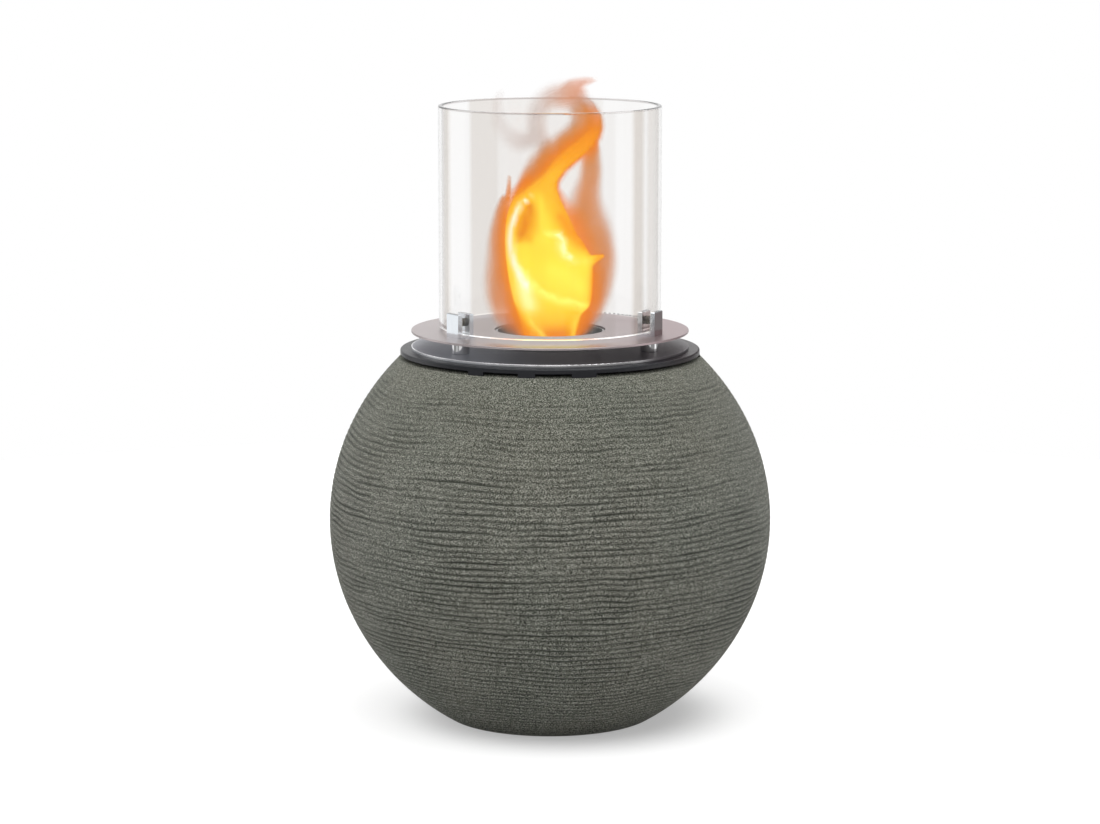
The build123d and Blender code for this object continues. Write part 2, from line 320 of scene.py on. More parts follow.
class BrushedFinish(Finish):
    """Stainless steel with the fine lines that brushing leaves along one direction."""

    def __init__(self, name, rough, stretch, depth=0.00003):
        super().__init__(name, metallic=1.0)
        place = self.place()
        lines = self.noise(self.stretched(place, stretch), 1.0, 3.0, 0.65)
        cloud = self.noise(place, 22.0, 3.0)
        self.across = self.parts(place)[0]
        self.lightness = lines * 0.6 + cloud * 0.4
        self.set("Roughness", lines * 0.08 + rough)
        self.bump(lines, depth)

    def face(self, dark, light):
        return self.mix(self.lightness, dark, light)


def brushed_steel(name, dark, light, rough, stretch, depth=0.00003):
    """The same steel all over a piece."""
    finish = BrushedFinish(name, rough, stretch, depth)
    finish.set("Base Color", finish.face(dark, light))
    return finish.material


def upper_plate_steel():
    """Brushed steel, a little rosier on the right."""
    finish = BrushedFinish("upper_plate_steel", 0.34, (500.0, 30.0, 500.0))
    warm = finish.across.ramp(0.0, 0.11)
    dark = finish.mix(warm, paint(170, 161, 161), paint(158, 139, 141))
    light = finish.mix(warm, paint(192, 183, 183), paint(179, 160, 162))
    finish.set("Base Color", finish.face(dark, light))
    return finish.material


def clip_steel():
    """Bright steel of the clips, darker on their tops, with painted shade, darker and warmer, where it faces
    right.
    """
    finish = BrushedFinish("clip_steel", 0.10, (400.0, 400.0, 60.0), 0.00002)
    facing = finish.facing()
    face = finish.face(paint(206, 211, 216), paint(232, 236, 240))
    # Painted shade: darker and warmer on faces that turn right
    face = finish.mix(facing[0].ramp(0.5, 0.84), face, paint(186, 172, 173))
    # Darker on the clips' tops
    finish.set("Base Color", finish.mix(facing[2].ramp(0.8, 0.95) * 0.8, face, grey(60)))
    return finish.material


# Painted reflections in the tube, as faint upright bands: from and to, in degrees round from the rear, to
# the left, and how strong
painted_glass_reflections = (
    (-30, 30, 0.24), (30, 49.5, 0.42), (107.5, 116.5, 0.42), (136, 155, 0.04), (-153, -145, 0.10),
    (-132.5, -123.5, 0.52), (-120, -101, 0.34), (-62, -30, 0.07), (170, 178, 0.05))
painted_reflection_edge_deg = 1.6

# The tube's cut ends: how far from each end the painted shade on its rim and the painted highlight on its
# foot begin, and where they are full
glass_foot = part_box("glass_tube")[0].z
glass_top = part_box("glass_tube")[1].z
painted_rim_shade_from = 0.0022
painted_rim_shade_full = 0.0006
painted_foot_highlight_from = 0.0013
painted_foot_highlight_full = 0.0005


def clear_glass():
    """Clear borosilicate tube with painted reflections in faint upright bands, which lets the lamps' light
    through.
    """
    finish = Finish("clear_glass", roughness=0.0, transmission_weight=1.0, ior=1.35)
    place = finish.place()
    across, along, height = finish.parts(place)
    turn = finish.turn(0 - across, along) - camera_turn_deg
    # A faint random tint, then painted reflections as upright bands
    tint = finish.noise(place, 9.0, 2.0) * 0.06
    for low, high, strength in painted_glass_reflections:
        tint = tint + turn.inside(low, high, painted_reflection_edge_deg) * strength
    body = finish.mix(tint.capped(), grey(254), paint(206, 195, 184))
    # Painted shade: a dark rim at the tube's top end
    rim = height.ramp(glass_top - painted_rim_shade_from, glass_top - painted_rim_shade_full)
    finish.set("Base Color", finish.mix(rim * 0.7, body, paint(142, 132, 130)))
    # Painted highlight: the foot glows, most at the front
    front = turn.absolute().ramp(80, 110)
    foot = height.ramp(glass_foot + painted_foot_highlight_from, glass_foot + painted_foot_highlight_full) * (0.4 + front * 0.6)
    finish.set("Emission Color", finish.mix(foot, grey(0), grey(176)))
    finish.set("Emission Strength", 1.0)
    through = finish.node("BsdfTransparent", {}, {"Color": (0.96, 0.96, 0.96, 1.0)})
    lamp = finish.node("LightPath", output="Is Shadow Ray")
    solid = Value(finish, finish.surface.outputs[0])
    seen = finish.node("MixShader", {}, {0: lamp, 1: solid, 2: through})
    finish.plug(finish.output.inputs["Surface"], seen)
    return finish.material


def soft_rubber(name, dark, light, rough):
    finish = Finish(name)
    place = finish.place()
    cloud = finish.noise(place, 300.0, 3.0)
    finish.set("Base Color", finish.mix(cloud, dark, light))
    finish.set("Roughness", cloud * 0.15 + rough)
    finish.bump(cloud, 0.0001)
    return finish.material


def fibre_wool():
    """White ceramic wool: matted fibres."""
    finish = Finish("ceramic_fibre", roughness=0.95)
    place = finish.place()
    mat = finish.noise(place, 700.0, 5.0, 0.8)
    finish.set("Base Color", finish.mix(mat, paint(190, 184, 170), paint(240, 236, 226)))
    finish.bump(mat, 0.001)
    return finish.material


def flame_light():
    """Glowing gas: it takes its colour and its thickness from the flame's own points."""
    finish = Finish("flame_light", base_color=(0, 0, 0, 1), roughness=1.0, specular_ior_level=0.0)
    finish.set("Emission Strength", 1.15)
    finish.set("Emission Color", finish.attribute("glow", "Color"))
    finish.set("Alpha", finish.attribute("thickness"))
    return finish.material


def dress(material, *names):
    """Gives frame nodes their finish."""
    for name in names:
        data = nodes[name].data
        data.materials.clear()
        data.materials.append(material)


def numbered(name, count):
    return [f"{name}_{number}" for number in range(1, count + 1)]


def between(low, high, value):
    """How far a value has come from low to high, from 0 to 1."""
    return max(0.0, min(1.0, (value - low) / (high - low)))


def new_piece(name, bm, body, *materials, slot=None):
    """Makes an object of a finished bmesh, and lets it ride on a body."""
    data = bpy.data.meshes.new(name)
    bm.to_mesh(data)
    bm.free()
    for material in materials:
        data.materials.append(material)
    piece = bpy.data.objects.new(name, data)
    bpy.context.scene.collection.objects.link(piece)
    if body:
        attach(piece, body)
    return piece


def draw(bm, start, *corners):
    """Carries the section's line on from a vertex, straight through corners. Returns its new end."""
    for x, z in corners:
        end = bm.verts.new((x, 0, z))
        bm.edges.new((start, end))
        start = end
    return start


def swing(bm, start, centre, turn, steps):
    """Carries the section's line on along an arc round a centre. Returns its new end."""
    made = bmesh.ops.spin(
        bm, geom=[start], cent=(centre[0], 0, centre[1]), axis=(0, 1, 0), angle=-turn, steps=steps)
    return made["geom_last"][0]


def fillet_centre(flank_centre, radius, level):
    """Centre of a round between the flank's arc and a level line, inside both."""
    reach = flank_radius - radius
    return Vector((flank_centre[0] + math.sqrt(reach ** 2 - (level - flank_centre[1]) ** 2), level))


def direction(centre, point):
    return math.atan2(point[1] - centre[1], point[0] - centre[0])


def ball_section(bm):
    """The ball's section line: base, grooved outside, ledge, rim, neck and the inside down to its floor."""
    row_layer = bm.verts.layers.int.new("row")
    shift = ball_radius - flank_radius
    lower = Vector((shift * math.cos(flank_latitude), ball_centre_z - shift * math.sin(flank_latitude)))
    upper = Vector((shift * math.cos(flank_latitude), ball_centre_z + shift * math.sin(flank_latitude)))
    middle = Vector((0, ball_centre_z))
    base = fillet_centre(lower, base_edge_round, ball_base_z + base_edge_round)
    ledge = fillet_centre(upper, ledge_edge_round, seat_z - ledge_edge_round)
    low = direction(lower, base)
    high = direction(upper, ledge)
    end = bm.verts.new((base.x, 0, ball_base_z))
    end = swing(bm, end, base, low + math.pi / 2, 5)
    first = len(bm.verts)
    for centre, radius, turn in (
        (lower, flank_radius, -flank_latitude - low),
        (middle, ball_radius, 2 * flank_latitude),
        (upper, flank_radius, high - flank_latitude),
    ):
        grooves = round(radius * turn / groove_pitch)
        end = swing(bm, end, centre, turn, grooves * groove_rows)
    bm.verts.ensure_lookup_table()
    for row, vert in enumerate(bm.verts[first:-1]):
        vert[row_layer] = row + 1
    end = swing(bm, end, ledge, math.pi / 2 - high, 5)
    mouth = rim_radius - rim_width
    neck_z = seat_z - rim_depth
    end = draw(bm, end, (rim_radius, seat_z), (rim_radius, seat_z + rim_rise), (mouth, seat_z + rim_rise))
    inner_flank = flank_radius - ball_wall
    inner_high = math.asin((neck_z - upper.y) / inner_flank)
    inner_low = math.asin((ball_floor_z - lower.y) / inner_flank)
    end = draw(bm, end, (mouth, neck_z), (upper.x + inner_flank * math.cos(inner_high), neck_z))
    end = swing(bm, end, upper, flank_latitude - inner_high, 5)
    end = swing(bm, end, middle, -2 * flank_latitude, 12)
    end = swing(bm, end, lower, inner_low + flank_latitude, 10)
    draw(bm, end, (0.05, ball_floor_z), (0, ball_floor_z))


def ripple(around, height, turns, rises, shift=0):
    """Slow noise round the ball and up it, from about -1 to 1."""
    return noise.noise(Vector((around.x * turns, around.y * turns, height * rises + shift)))


def comb_grooves(bm):
    """Combs wavy grooves into the ball: rows slide along it and sink, deepest in the middle of a groove."""
    row_layer = bm.verts.layers.int["row"]
    depth_layer = bm.verts.layers.float.new("groove")
    last = max(vert[row_layer] for vert in bm.verts)
    bm.normal_update()
    moves = []
    for vert in bm.verts:
        row = vert[row_layer]
        if row == 0:
            continue
        around = Vector((vert.co.x, vert.co.y, 0)).normalized()
        height = vert.co.z
        calm = min(1.0, row / comb_calm_rows_base, (last - row) / comb_calm_rows_ledge)
        drift = ripple(around, height, 1.7, 8) + ripple(around, height, 7, 70, 7) * 0.34
        patch = ripple(around, height, 2.6, 14, 19)
        streak = ripple(around, height, 4, 0.7 / groove_pitch, 31)
        strength = comb_strength + 0.45 * patch + 0.70 * streak
        strength += comb_gain_below * between(0.27, 0.12, height)
        strength -= comb_loss_right * between(0.02, 0.12, vert.co.x) * between(0.14, 0.22, height)
        strength = max(comb_least, min(comb_most, strength))
        depth = strength * calm * groove_shape[row % groove_rows]
        vert[depth_layer] = depth
        rise = vert.normal.cross(Vector((-around.y, around.x, 0)))
        moves.append((vert, rise * drift * calm * groove_pitch - vert.normal * groove_depth * depth))
    for vert, move in moves:
        vert.co += move


def close_underside(bm):
    """Fills the base inside the ball's lowest circle, with a pocket for each foot pad."""
    rim = [edge for edge in bm.edges if edge.is_boundary]
    pockets = []
    for number in range(1, pad_count + 1):
        low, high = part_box(f"foot_pad_{number}")
        middle = (low + high) / 2
        place = Matrix.Translation((middle.x, middle.y, ball_base_z))
        radius = (high.x - low.x) / 2 + pocket_gap
        circle = bmesh.ops.create_circle(bm, segments=pocket_sides, radius=radius, matrix=place)["verts"]
        pockets.append(list({edge for vert in circle for edge in vert.link_edges}))
    bmesh.ops.triangle_fill(bm, edges=rim + sum(pockets, []), use_beauty=True, use_dissolve=False)
    for pocket in pockets:
        walls = bmesh.ops.extrude_edge_only(bm, edges=pocket)["geom"]
        upper = [item for item in walls if isinstance(item, bmesh.types.BMVert)]
        bmesh.ops.translate(bm, verts=upper, vec=(0, 0, pocket_depth))
        tops = [edge for edge in walls if isinstance(edge, bmesh.types.BMEdge) and edge.is_boundary]
        bmesh.ops.contextual_create(bm, geom=tops)


def ball_piece():
    """The ball, with its combed outside, the rim under the vent ring, the hollow and the pads' pockets."""
    bm = bmesh.new()
    ball_section(bm)
    bmesh.ops.spin(
        bm, geom=bm.verts[:] + bm.edges[:], cent=(0, 0, 0), axis=(0, 0, 1), angle=2 * math.pi,
        steps=groove_columns, use_merge=True,
    )
    bmesh.ops.remove_doubles(bm, verts=bm.verts, dist=1e-6)
    close_underside(bm)
    bmesh.ops.recalc_face_normals(bm, faces=bm.faces)
    comb_grooves(bm)
    for face in bm.faces:
        face.smooth = True
    return new_piece("ball_grooved", bm, "ball", ball_composite(), slot="ball_composite")


# Flame tongues, each a line of across, depth, height and half-width, seen from the camera's side
flame_body = (
    (0.000, 0.000, 0.343, 0.019), (0.000, 0.000, 0.362, 0.0265), (0.000, 0.000, 0.381, 0.0335),
    (-0.001, 0.000, 0.395, 0.0345), (-0.0035, 0.001, 0.408, 0.0365), (-0.0045, 0.002, 0.422, 0.0375),
    (-0.0075, 0.003, 0.436, 0.035), (-0.0125, 0.004, 0.449, 0.0295), (-0.0145, 0.004, 0.462, 0.0230),
    (-0.0120, 0.002, 0.4735, 0.0170), (-0.0085, 0.000, 0.4785, 0.0130), (-0.0045, -0.002, 0.487, 0.0085),
)
flame_stream = (
    (-0.0045, -0.002, 0.487, 0.0085), (0.0015, -0.004, 0.4965, 0.0078), (0.0095, -0.007, 0.506, 0.0074),
    (0.0190, -0.009, 0.5140, 0.0072), (0.0295, -0.007, 0.5215, 0.0070), (0.0370, -0.002, 0.530, 0.0068),
    (0.0405, 0.003, 0.539, 0.0062), (0.0390, 0.006, 0.5475, 0.0058), (0.0340, 0.008, 0.556, 0.0050),
    (0.0270, 0.009, 0.563, 0.0036),
)
flame_flank = (
    (0.0290, -0.010, 0.3770, 0.0058), (0.0300, -0.010, 0.3860, 0.0070), (0.0300, -0.010, 0.3980, 0.0075),
    (0.0305, -0.010, 0.4090, 0.0075), (0.0300, -0.010, 0.4180, 0.0070), (0.0260, -0.009, 0.4260, 0.0065),
    (0.0190, -0.006, 0.4350, 0.0065),
)
flank_tip = (
    (0.0370, -0.011, 0.4190, 0.0035), (0.0440, -0.011, 0.4215, 0.0025), (0.0500, -0.010, 0.4235, 0.0016),
)
stream_fringe = (
    (-0.0255, 0.001, 0.470, 0.007), (-0.0225, 0.000, 0.479, 0.0085), (-0.018, -0.001, 0.4885, 0.009),
    (-0.0135, -0.003, 0.4975, 0.0095), (-0.007, -0.005, 0.507, 0.0105), (0.002, -0.006, 0.516, 0.0105),
    (0.0135, -0.005, 0.5245, 0.010), (0.0245, -0.002, 0.5325, 0.0100), (0.0310, 0.003, 0.5415, 0.0115),
    (0.0300, 0.006, 0.5510, 0.0115), (0.0245, 0.007, 0.5600, 0.0110),
)
left_lobe = (
    (-0.0405, 0.009, 0.4735, 0.0036), (-0.044, 0.009, 0.461, 0.0056), (-0.0455, 0.010, 0.449, 0.0072),
    (-0.0465, 0.010, 0.4355, 0.0088), (-0.0465, 0.010, 0.422, 0.010), (-0.0455, 0.009, 0.408, 0.0115),
    (-0.0440, 0.007, 0.395, 0.0135), (-0.0415, 0.005, 0.381, 0.0140), (-0.037, 0.002, 0.369, 0.0130),
    (-0.031, 0.000, 0.358, 0.010),
)
lobe_wisp = (
    (-0.0385, 0.003, 0.470, 0.0028), (-0.0372, 0.002, 0.481, 0.0022), (-0.0365, 0.001, 0.494, 0.0016),
)
right_sheet = (
    (0.0385, 0.001, 0.524, 0.004), (0.0380, 0.002, 0.516, 0.0062), (0.0370, 0.004, 0.507, 0.0080),
    (0.0368, 0.005, 0.4975, 0.0090), (0.0350, 0.006, 0.488, 0.0095), (0.0325, 0.006, 0.476, 0.0115),
    (0.0315, 0.005, 0.4625, 0.0145), (0.0355, 0.003, 0.449, 0.0165), (0.0430, 0.001, 0.4355, 0.0135),
    (0.0490, -0.001, 0.422, 0.0100), (0.0470, -0.002, 0.4085, 0.0115), (0.0430, -0.002, 0.395, 0.0120),
    (0.0395, -0.001, 0.381, 0.0110), (0.0330, 0.000, 0.367, 0.0105), (0.0260, 0.000, 0.356, 0.008),
)
smoke_arch = (
    (0.0185, 0.009, 0.5740, 0.0050), (0.0240, 0.008, 0.5660, 0.0090), (0.0180, 0.007, 0.5640, 0.0115),
    (0.0080, 0.005, 0.5650, 0.0110), (-0.0010, 0.003, 0.5630, 0.0100), (-0.0090, 0.001, 0.5565, 0.0095),
    (-0.0130, 0.000, 0.5460, 0.0090), (-0.0125, -0.002, 0.5350, 0.0085), (-0.0080, -0.003, 0.5250, 0.0075),
    (-0.0020, -0.004, 0.5170, 0.0060),
)
smoke_loop = (
    (-0.0150, -0.002, 0.5280, 0.0070), (-0.0240, -0.003, 0.5230, 0.0090), (-0.0345, -0.002, 0.5260, 0.0090),
    (-0.0425, 0.001, 0.5350, 0.0080), (-0.0465, 0.003, 0.5460, 0.0065), (-0.0470, 0.004, 0.5580, 0.0050),
    (-0.0440, 0.004, 0.5680, 0.0035),
)
smoke_tip = (
    (0.0140, 0.008, 0.5715, 0.0060), (0.0220, 0.008, 0.5750, 0.0048), (0.0310, 0.009, 0.5772, 0.0038),
    (0.0420, 0.010, 0.5790, 0.0024),
)

# How far out each layer of a tongue lies, as a share of its field's reach, and how thick it looks. The
# flame is flatter in depth than across. A tongue's balls lie a step apart, as a share of its half-width.
core_reach = 0.55
lobe_reach = 0.62
core_layers = ((core_reach, 1.0),)
body_layers = ((0.575, 0.30), (0.60, 0.26), (0.63, 0.20), (0.66, 0.15), (0.69, 0.10), (0.72, 0.06))
stream_layers = ((0.62, 0.22), (0.68, 0.20), (0.74, 0.17), (0.80, 0.13), (0.86, 0.09), (0.92, 0.05))
lobe_layers = (
    (0.22, 0.24), (0.33, 0.24), (0.43, 0.22), (0.52, 0.19), (0.60, 0.15), (0.67, 0.11), (0.74, 0.075),
    (0.81, 0.045), (0.88, 0.025),
)
smoke_layers = (
    (0.26, 0.06), (0.38, 0.055), (0.50, 0.05), (0.60, 0.04), (0.69, 0.03), (0.78, 0.02), (0.87, 0.012),
)
flame_depth_share = 0.66
tongue_step = 0.3
streak_reach = 2.4

# Colours up the height of the core, and of the fringe and the sheets beside it
core_heights = (
    (0.346, (238, 142, 12)), (0.363, (250, 186, 36)), (0.381, (254, 220, 66)), (0.395, (255, 226, 70)),
    (0.416, (255, 224, 62)), (0.436, (252, 216, 60)), (0.452, (250, 198, 44)), (0.467, (250, 192, 40)),
    (0.480, (249, 186, 38)), (0.497, (247, 178, 34)), (0.508, (243, 160, 22)), (0.521, (238, 148, 14)),
    (0.530, (238, 144, 12)), (0.538, (230, 130, 22)), (0.546, (222, 124, 42)), (0.555, (206, 116, 64)),
    (0.563, (190, 112, 76)), (0.576, (170, 120, 100)),
)
fringe_heights = (
    (0.356, (190, 92, 22)), (0.370, (214, 116, 36)), (0.410, (212, 124, 50)), (0.480, (212, 128, 64)),
    (0.516, (204, 130, 70)), (0.534, (200, 134, 80)), (0.553, (186, 130, 94)), (0.566, (172, 132, 110)),
)

# Streaks and folds on the core: a line of across, height and half-width, then its colour, its strength and
# how narrow its left side is
flame_streaks = (
    # Dark folds at the upper left
    (((-0.018, 0.466, 0.004), (-0.022, 0.452, 0.007), (-0.026, 0.441, 0.005)), (228, 130, 10), 0.95, 1.0),
    (((-0.012, 0.462, 0.004), (-0.015, 0.448, 0.0045), (-0.018, 0.437, 0.003)), (242, 160, 20), 0.6, 1.0),
    # Shade above the fold on the right, and down the right edge
    (((0.0090, 0.4580, 0.004), (0.0180, 0.4440, 0.006), (0.0270, 0.4340, 0.0060),
      (0.0400, 0.4280, 0.0050)), (247, 160, 24), 0.95, 1.0),
    (((0.0410, 0.4150, 0.004), (0.0405, 0.405, 0.0050), (0.0400, 0.393, 0.0050), (0.0385, 0.384, 0.0040)),
     (240, 144, 26), 0.9, 1.0),
    # Bright middle, and the dark foot
    (((-0.010, 0.476, 0.003), (-0.007, 0.462, 0.005), (-0.004, 0.440, 0.009)), (255, 230, 72), 0.75, 1.0),
    (((0.000, 0.352, 0.006), (0.014, 0.350, 0.008)), (228, 124, 10), 0.9, 1.0),
    (((-0.028, 0.361, 0.004), (-0.022, 0.350, 0.004)), (226, 122, 14), 0.8, 1.0),
    # Bright heart, and the shade under it
    (((0.003, 0.4110, 0.0080), (0.018, 0.4050, 0.0080), (0.026, 0.3950, 0.0060)),
     (255, 240, 84), 0.6, 1.0),
    (((-0.010, 0.3870, 0.0100), (0.004, 0.3780, 0.0085), (0.020, 0.3740, 0.0060)),
     (252, 198, 40), 0.45, 1.0),
    # White-hot gas on the left, and the long fold that runs from it to the lower right
    (((-0.0250, 0.4010, 0.006), (-0.0225, 0.3900, 0.008), (-0.0190, 0.3800, 0.008)),
     (255, 248, 168), 0.95, 1.0),
    (((-0.0310, 0.4180, 0.0050), (-0.0180, 0.4010, 0.0058), (-0.0040, 0.3905, 0.0058),
      (0.0100, 0.3845, 0.0056), (0.0240, 0.3815, 0.0050), (0.0350, 0.3775, 0.0034)),
     (255, 247, 110), 0.95, 0.28),
    (((0.0350, 0.3775, 0.0030), (0.0275, 0.3680, 0.0040), (0.0225, 0.3600, 0.0040),
      (0.0215, 0.3480, 0.0036)), (254, 228, 76), 0.85, 0.35),
    # White crescent up the left edge
    (((-0.0150, 0.4775, 0.0013), (-0.0240, 0.4705, 0.0018), (-0.0310, 0.460, 0.0024),
      (-0.0350, 0.448, 0.0030), (-0.0360, 0.436, 0.0034), (-0.0345, 0.424, 0.0036),
      (-0.0300, 0.412, 0.0038), (-0.0250, 0.4025, 0.0038), (-0.0195, 0.3950, 0.0030)),
     (255, 255, 226), 1.0, 0.8),
    # Fold on the right, with its tip
    (((-0.004, 0.4435, 0.0020), (0.005, 0.4440, 0.0024)), (255, 246, 110), 0.9, 0.6),
    (((0.005, 0.4440, 0.0022), (0.0110, 0.4405, 0.0030), (0.0125, 0.432, 0.0052),
      (0.0145, 0.4260, 0.0050), (0.021, 0.4210, 0.0036)), (255, 255, 180), 1.0, 0.35),
    (((0.021, 0.4210, 0.0036), (0.032, 0.4200, 0.0030), (0.0420, 0.4215, 0.0020)),
     (255, 234, 100), 1.0, 0.35),
    (((0.0440, 0.4220, 0.0040), (0.0520, 0.4245, 0.0040)), (244, 156, 34), 0.9, 1.0),
    # Foot at the left
    (((-0.031, 0.372, 0.0035), (-0.026, 0.358, 0.0040), (-0.020, 0.347, 0.0040)),
     (234, 138, 14), 0.7, 1.0),
    (((-0.019, 0.366, 0.0022), (-0.009, 0.355, 0.0022), (-0.004, 0.348, 0.0020)),
     (255, 226, 90), 0.7, 1.0),
)


def tongue_elements(tongue):
    """Places along a tongue's line, a step apart, with their half-widths and the stretch each stands for."""
    found = []
    for start, end in zip(tongue, tongue[1:]):
        first, last = Vector(start[:3]), Vector(end[:3])
        length = (last - first).length
        count = max(1, round(length / (tongue_step * (start[3] + end[3]) / 2)))
        for step in range(count):
            share = (step + 0.5) / count
            radius = start[3] + (end[3] - start[3]) * share
            found.append((first.lerp(last, share), radius, length / count))
    return found


def flame_layer(tongues, reach, seen_reach, mesh_step):
    """The closed skin where the tongues' joint field falls to the level of one layer, as a mesh.

    Balls whose own fields are (1 - r^2)^3, strung evenly along a line, add up to (1 - r^2)^3.5 round it once
    their strength is 35/32 of their stretch of line over their radius."""
    skin = bpy.data.metaballs.new("flame_skin")
    skin.resolution = skin.render_resolution = mesh_step
    skin.threshold = (1 - reach ** 2) ** 3.5
    for tongue in tongues:
        for place, radius, stretch in tongue_elements(tongue):
            element = skin.elements.new()
            element.co = (place.x, place.y / flame_depth_share, place.z)
            element.radius = radius / seen_reach
            element.stiffness = stretch / element.radius * 35 / 32
    holder = bpy.data.objects.new(f"flame_skin_{skin.name}", skin)
    bpy.context.scene.collection.objects.link(holder)
    bpy.context.view_layer.update()
    ready = holder.evaluated_get(bpy.context.evaluated_depsgraph_get())
    data = bpy.data.meshes.new_from_object(ready)
    bpy.data.objects.remove(holder)
    bpy.data.metaballs.remove(skin)
    return data


def blend_colours(first, second, share):
    return tuple(a + (b - a) * share for a, b in zip(first, second))


def height_colour(heights, height):
    """The colour at a height, from a list of heights and colours."""
    for (low, below), (high, above) in zip(heights, heights[1:]):
        if height < high:
            return blend_colours(below, above, max(0.0, (height - low) / (high - low)))
    return heights[-1][1]


def streak_share(line, across, height, crease=1.0):
    """How strongly a streak shows at a place: 1 on its line, and about 0 at twice its half-width.

    A crease below 1 narrows the streak's left side, as one looks along its line."""
    best = 0.0
    for start, end in zip(line, line[1:]):
        run = Vector((end[0] - start[0], end[1] - start[1]))
        offset = Vector((across - start[0], height - start[1]))
        share = max(0.0, min(1.0, offset.dot(run) / run.length_squared))
        width = start[2] + (end[2] - start[2]) * share
        if run.x * offset.y > run.y * offset.x:
            width *= crease
        gap = (offset - run * share).length / width
        if gap < streak_reach:
            best = max(best, math.exp(-gap ** 2))
    return best


def core_gap(across, height):
    """How far a place lies outside the core's outline, in metres. It is below 0 inside."""
    gaps = []
    for tongue in (flame_body, flame_stream, flame_flank):
        for start, end in zip(tongue, tongue[1:]):
            run = Vector((end[0] - start[0], end[2] - start[2]))
            offset = Vector((across - start[0], height - start[2]))
            share = max(0.0, min(1.0, offset.dot(run) / run.length_squared))
            gaps.append((offset - run * share).length - start[3] - (end[3] - start[3]) * share)
    return min(gaps)


def core_look(across, height, *_):
    """The core's colour, and how dense it is: it thins out in the tip."""
    colour = height_colour(core_heights, height)
    for line, tint, strength, crease in flame_streaks:
        colour = blend_colours(colour, tint, strength * streak_share(line, across, height, crease))
    return colour, 1 - 0.94 * between(0.532, 0.562, height)


def body_look(across, height, share, sideways):
    """Skins close round the core: clear in front of it, orange along its outline."""
    colour, dense = core_look(across, height)
    fringe = blend_colours((238, 134, 8), (226, 116, 16), share)
    fringe = blend_colours(fringe, height_colour(fringe_heights, height), between(0.525, 0.555, height))
    return blend_colours(colour, fringe, between(0.5, 0.95, sideways)), dense * sideways ** 4


def strands(across, height, scale):
    """Slow upright streaks in the gas, from about -1 to 1."""
    return noise.noise(Vector((across * scale, height * scale * 0.25, 5)))


def lobe_look(across, height, share, *_):
    """Orange sheets beside the core, hottest near it and duller outside, that thin out into the tip."""
    colour = height_colour(fringe_heights, height)
    dense = 1 - 0.55 * between(0.520, 0.570, height)
    dense *= 0.95 + 0.45 * strands(across, height, 110)
    dense *= 1 - 0.6 * between(-0.034, -0.038, across) * between(0.472, 0.486, height)
    reach = 0.005 + 0.008 * max(between(-0.01, 0.03, across), between(0.466, 0.484, height))
    hot = between(reach, -0.002, core_gap(across, height)) * between(0.562, 0.535, height)
    colour = blend_colours(colour, (176, 140, 118), 0.75 * share ** 2)
    return blend_colours(colour, (233, 118, 6), 0.9 * hot), dense * (1 + 0.8 * hot)


def smoke_look(across, height, *_):
    """A veil that arches over from the tip to the left, where it pales into a faint loop."""
    near = between(-0.014, 0.030, across)
    dense = 0.42 + 1.05 * between(-0.040, -0.012, across) + 1.9 * near ** 2
    dense *= 1 - 0.5 * between(0.571, 0.578, height)
    colour = blend_colours((176, 148, 136), (212, 122, 66), near)
    return colour, dense * (0.95 + 0.5 * strands(across, height, 60))


def flame_piece(name, tongues, seen_reach, layers, look, mesh_step=flame_mesh_step):
    """One piece of nested skins. Each skin's points hold their colour and how thick the gas looks there."""
    bm = bmesh.new()
    glow = bm.verts.layers.float_color.new("glow")
    thickness = bm.verts.layers.float.new("thickness")
    turn = Matrix.Rotation(math.radians(camera_turn_deg), 3, "Z")
    for number, (reach, thick) in enumerate(layers):
        known = len(bm.verts)
        data = flame_layer(tongues, reach, seen_reach, mesh_step)
        bm.from_mesh(data)
        bpy.data.meshes.remove(data)
        bm.normal_update()
        bm.verts.ensure_lookup_table()
        for vert in bm.verts[known:]:
            sideways = math.sqrt(max(0.0, 1 - vert.normal.y ** 2))
            colour, dense = look(vert.co.x, vert.co.z, (number + 1) / len(layers), sideways)
            vert[glow] = paint(*colour)
            vert[thickness] = min(1.0, thick * dense)
            vert.co.y *= flame_depth_share
            vert.co = turn @ vert.co
    for face in bm.faces:
        face.smooth = True
    piece = new_piece(name, bm, "fuel_cup", flame_light())
    piece.visible_glossy = False


def make_flame():
    """The flame: a bright core in ever thinner orange skins, lobes beside it, a torn tip and some smoke."""
    core = (flame_body, flame_stream, flame_flank, flank_tip)
    lobes = (left_lobe, lobe_wisp, right_sheet, stream_fringe)
    flame_piece("flame_core", core, core_reach, core_layers, core_look, core_mesh_step)
    flame_piece("flame_body", core, core_reach, body_layers, body_look)
    flame_piece("flame_stream", (flame_stream,), core_reach, stream_layers, body_look)
    flame_piece("flame_lobes", lobes, lobe_reach, lobe_layers, lobe_look)
    flame_piece("flame_smoke", (smoke_arch, smoke_loop, smoke_tip), lobe_reach, smoke_layers, smoke_look)


# Soft panels, walls and ceiling of the studio that steel mirrors: from and to, in degrees round from the
# camera's side, and how bright. Heights are sines.
studio_walls = 0.32
studio_panels = ((-131, -97, 1.15), (71, 98, 1.3), (150, 210, 1.0), (-210, -150, 1.0))
low_panels = ((-56, -38, 0.85), (-21, 16, 1.0), (66, 76, 0.6))
low_panel_top = math.sin(math.radians(-7.5))
low_panel_edge = 0.006
panel_edge_deg = 4.0
ceiling_edge = 0.45
ceiling_full = 0.7
studio_ambient = 0.33


